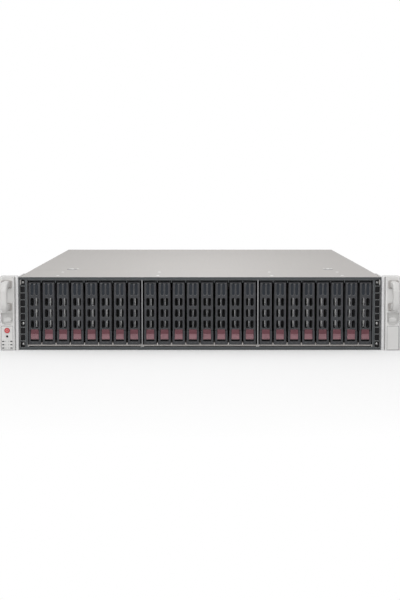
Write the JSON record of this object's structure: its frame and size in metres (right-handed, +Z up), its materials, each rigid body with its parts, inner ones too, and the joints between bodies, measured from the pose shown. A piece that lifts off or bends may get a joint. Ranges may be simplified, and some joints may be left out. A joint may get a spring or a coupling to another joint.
{
  "type": "disk shelf enclosure",
  "caption": "Flat rack shelf for hot-swap disk trays: slotted swing handles, release buttons, pull-handle ears, sliding cover, fans and stacked power supplies.",
  "frame": {"origin": "on the underside, below the middle of the whole shelf", "axes": "+X to the right seen from the front, front faces -Y, +Z up"},
  "size_m": [0.4826, 0.708, 0.0889],
  "materials": {
    "zinc_steel": "zinc-plated sheet",
    "dark_paint": "dark grey paint",
    "bright_steel": "bright plated",
    "silver_plastic": "silver paint",
    "tray_plastic": "moulded",
    "tray_and_drive": "dark moulded carrier round a cast drive",
    "burgundy_plastic": "moulded",
    "red_plastic": "translucent red",
    "black_plastic": "moulded",
    "light_pipe": "smoked clear",
    "circuit_board": "solder mask",
    "supply_case": "plated sheet"
  },
  "bodies": {
    "chassis": {"chassis_tub": "zinc_steel", "front_frame": "dark_paint", "front_top_plate": "zinc_steel", "rear_panel": "zinc_steel", "drive_cage": "zinc_steel", "drive_backplane": "circuit_board", "backplane_sockets": "black_plastic", "ear_brackets": "bright_steel", "left_ear": "silver_plastic", "right_ear": "silver_plastic", "pull_handles": "silver_plastic", "control_plate": "silver_plastic", "bare_plate": "silver_plastic", "status_light_pipes": "light_pipe", "control_panel_board": "circuit_board", "fan_wall": "zinc_steel", "fan_frames": "black_plastic", "control_board": "circuit_board", "port_cages": "bright_steel", "psu_cage": "zinc_steel"},
    "main_cover": {"main_cover": "zinc_steel"},
    "cover_tab_left": {"cover_tab_left": "bright_steel"},
    "cover_tab_right": {"cover_tab_right": "bright_steel"},
    "power_button": {"power_button": "red_plastic"},
    "reset_button": {"reset_button": "black_plastic"},
    "fan_rotor_1": {"fan_rotor_1": "black_plastic"},
    "fan_rotor_2": {"fan_rotor_2": "black_plastic"},
    "fan_rotor_3": {"fan_rotor_3": "black_plastic"},
    "power_supply_lower": {"power_supply_lower": "supply_case"},
    "psu_lever_lower": {"psu_lever_lower": "burgundy_plastic"},
    "power_supply_upper": {"power_supply_upper": "supply_case"},
    "psu_lever_upper": {"psu_lever_upper": "burgundy_plastic"},
    "tray_01": {"drive_tray_01": "tray_and_drive"},
    "tray_02": {"drive_tray_02": "tray_and_drive"},
    "tray_03": {"drive_tray_03": "tray_and_drive"},
    "tray_04": {"drive_tray_04": "tray_and_drive"},
    "tray_05": {"drive_tray_05": "tray_and_drive"},
    "tray_06": {"drive_tray_06": "tray_and_drive"},
    "tray_07": {"drive_tray_07": "tray_and_drive"},
    "tray_08": {"drive_tray_08": "tray_and_drive"},
    "tray_09": {"drive_tray_09": "tray_and_drive"},
    "tray_10": {"drive_tray_10": "tray_and_drive"},
    "tray_11": {"drive_tray_11": "tray_and_drive"},
    "tray_12": {"drive_tray_12": "tray_and_drive"},
    "tray_13": {"drive_tray_13": "tray_and_drive"},
    "tray_14": {"drive_tray_14": "tray_and_drive"},
    "tray_15": {"drive_tray_15": "tray_and_drive"},
    "tray_16": {"drive_tray_16": "tray_and_drive"},
    "tray_17": {"drive_tray_17": "tray_and_drive"},
    "tray_18": {"drive_tray_18": "tray_and_drive"},
    "tray_19": {"drive_tray_19": "tray_and_drive"},
    "tray_20": {"drive_tray_20": "tray_and_drive"},
    "tray_21": {"drive_tray_21": "tray_and_drive"},
    "tray_22": {"drive_tray_22": "tray_and_drive"},
    "tray_23": {"drive_tray_23": "tray_and_drive"},
    "tray_24": {"drive_tray_24": "tray_and_drive"},
    "tray_01_handle": {"tray_handle_01": "tray_plastic"},
    "tray_01_button": {"tray_button_01": "burgundy_plastic"},
    "tray_24_handle": {"tray_handle_24": "tray_plastic"},
    "tray_24_button": {"tray_button_24": "burgundy_plastic"}
  },
  "joints": [
    {"name": "cover_slide", "type": "slide", "parent": "chassis", "child": "main_cover", "axis": [0, 1, 0], "range_m": [0, 0.012]},
    {"name": "cover_tab_left_press", "type": "slide", "parent": "main_cover", "child": "cover_tab_left", "axis": [0, 0, -1], "range_m": [0, 0.0025], "stiffness_N_per_m": 2000},
    {"name": "cover_tab_right_press", "type": "slide", "parent": "main_cover", "child": "cover_tab_right", "axis": [0, 0, -1], "range_m": [0, 0.0025], "stiffness_N_per_m": 2000},
    {"name": "power_press", "type": "slide", "parent": "chassis", "child": "power_button", "axis": [0, 1, 0], "range_m": [0, 0.001], "stiffness_N_per_m": 1500},
    {"name": "reset_press", "type": "slide", "parent": "chassis", "child": "reset_button", "axis": [0, 1, 0], "range_m": [0, 0.0007], "stiffness_N_per_m": 1500},
    {"name": "psu_slide_lower", "type": "slide", "parent": "chassis", "child": "power_supply_lower", "axis": [0, 1, 0], "range_m": [0, 0.15]},
    {"name": "psu_lever_lower_press", "type": "hinge", "parent": "power_supply_lower", "child": "psu_lever_lower", "pos_m": [0.2013, 0.326, 0.0066], "axis": [1, 0, 0], "range_deg": [0, 12], "stiffness_Nm_per_rad": 0.2},
    {"name": "psu_slide_upper", "type": "slide", "parent": "chassis", "child": "power_supply_upper", "axis": [0, 1, 0], "range_m": [0, 0.15]},
    {"name": "psu_lever_upper_press", "type": "hinge", "parent": "power_supply_upper", "child": "psu_lever_upper", "pos_m": [0.2013, 0.326, 0.0484], "axis": [1, 0, 0], "range_deg": [0, 12], "stiffness_Nm_per_rad": 0.2},
    {"name": "tray_slide_01", "type": "slide", "parent": "chassis", "child": "tray_01", "axis": [0, -1, 0], "range_m": [0, 0.1]},
    {"name": "tray_handle_01_swing", "type": "hinge", "parent": "tray_01", "child": "tray_01_handle", "pos_m": [-0.20015, -0.313, 0.079], "axis": [-1, 0, 0], "range_deg": [0, 50]},
    {"name": "tray_button_01_press", "type": "slide", "parent": "tray_01", "child": "tray_01_button", "axis": [0, 1, 0], "range_m": [0, 0.002], "stiffness_N_per_m": 1500},
    {"name": "tray_slide_24", "type": "slide", "parent": "chassis", "child": "tray_24", "axis": [0, -1, 0], "range_m": [0, 0.1]},
    {"name": "tray_handle_24_swing", "type": "hinge", "parent": "tray_24", "child": "tray_24_handle", "pos_m": [0.20015, -0.313, 0.079], "axis": [-1, 0, 0], "range_deg": [0, 50]},
    {"name": "tray_button_24_press", "type": "slide", "parent": "tray_24", "child": "tray_24_button", "axis": [0, 1, 0], "range_m": [0, 0.002], "stiffness_N_per_m": 1500},
    {"name": "fan_spin_1", "type": "hinge", "parent": "chassis", "child": "fan_rotor_1", "pos_m": [-0.128, -0.10265, 0.0442], "axis": [0, 1, 0], "continuous": true},
    {"name": "fan_spin_2", "type": "hinge", "parent": "chassis", "child": "fan_rotor_2", "pos_m": [0, -0.10265, 0.0442], "axis": [0, 1, 0], "continuous": true},
    {"name": "fan_spin_3", "type": "hinge", "parent": "chassis", "child": "fan_rotor_3", "pos_m": [0.128, -0.10265, 0.0442], "axis": [0, 1, 0], "continuous": true},
    {"name": "tray_slide_02", "type": "slide", "parent": "chassis", "child": "tray_02", "axis": [0, -1, 0], "range_m": [0, 0.1]},
    {"name": "tray_slide_03", "type": "slide", "parent": "chassis", "child": "tray_03", "axis": [0, -1, 0], "range_m": [0, 0.1]},
    {"name": "tray_slide_04", "type": "slide", "parent": "chassis", "child": "tray_04", "axis": [0, -1, 0], "range_m": [0, 0.1]},
    {"name": "tray_slide_05", "type": "slide", "parent": "chassis", "child": "tray_05", "axis": [0, -1, 0], "range_m": [0, 0.1]},
    {"name": "tray_slide_06", "type": "slide", "parent": "chassis", "child": "tray_06", "axis": [0, -1, 0], "range_m": [0, 0.1]},
    {"name": "tray_slide_07", "type": "slide", "parent": "chassis", "child": "tray_07", "axis": [0, -1, 0], "range_m": [0, 0.1]},
    {"name": "tray_slide_08", "type": "slide", "parent": "chassis", "child": "tray_08", "axis": [0, -1, 0], "range_m": [0, 0.1]},
    {"name": "tray_slide_09", "type": "slide", "parent": "chassis", "child": "tray_09", "axis": [0, -1, 0], "range_m": [0, 0.1]},
    {"name": "tray_slide_10", "type": "slide", "parent": "chassis", "child": "tray_10", "axis": [0, -1, 0], "range_m": [0, 0.1]},
    {"name": "tray_slide_11", "type": "slide", "parent": "chassis", "child": "tray_11", "axis": [0, -1, 0], "range_m": [0, 0.1]},
    {"name": "tray_slide_12", "type": "slide", "parent": "chassis", "child": "tray_12", "axis": [0, -1, 0], "range_m": [0, 0.1]},
    {"name": "tray_slide_13", "type": "slide", "parent": "chassis", "child": "tray_13", "axis": [0, -1, 0], "range_m": [0, 0.1]},
    {"name": "tray_slide_14", "type": "slide", "parent": "chassis", "child": "tray_14", "axis": [0, -1, 0], "range_m": [0, 0.1]},
    {"name": "tray_slide_15", "type": "slide", "parent": "chassis", "child": "tray_15", "axis": [0, -1, 0], "range_m": [0, 0.1]},
    {"name": "tray_slide_16", "type": "slide", "parent": "chassis", "child": "tray_16", "axis": [0, -1, 0], "range_m": [0, 0.1]},
    {"name": "tray_slide_17", "type": "slide", "parent": "chassis", "child": "tray_17", "axis": [0, -1, 0], "range_m": [0, 0.1]},
    {"name": "tray_slide_18", "type": "slide", "parent": "chassis", "child": "tray_18", "axis": [0, -1, 0], "range_m": [0, 0.1]},
    {"name": "tray_slide_19", "type": "slide", "parent": "chassis", "child": "tray_19", "axis": [0, -1, 0], "range_m": [0, 0.1]},
    {"name": "tray_slide_20", "type": "slide", "parent": "chassis", "child": "tray_20", "axis": [0, -1, 0], "range_m": [0, 0.1]},
    {"name": "tray_slide_21", "type": "slide", "parent": "chassis", "child": "tray_21", "axis": [0, -1, 0], "range_m": [0, 0.1]},
    {"name": "tray_slide_22", "type": "slide", "parent": "chassis", "child": "tray_22", "axis": [0, -1, 0], "range_m": [0, 0.1]},
    {"name": "tray_slide_23", "type": "slide", "parent": "chassis", "child": "tray_23", "axis": [0, -1, 0], "range_m": [0, 0.1]}
  ]
}
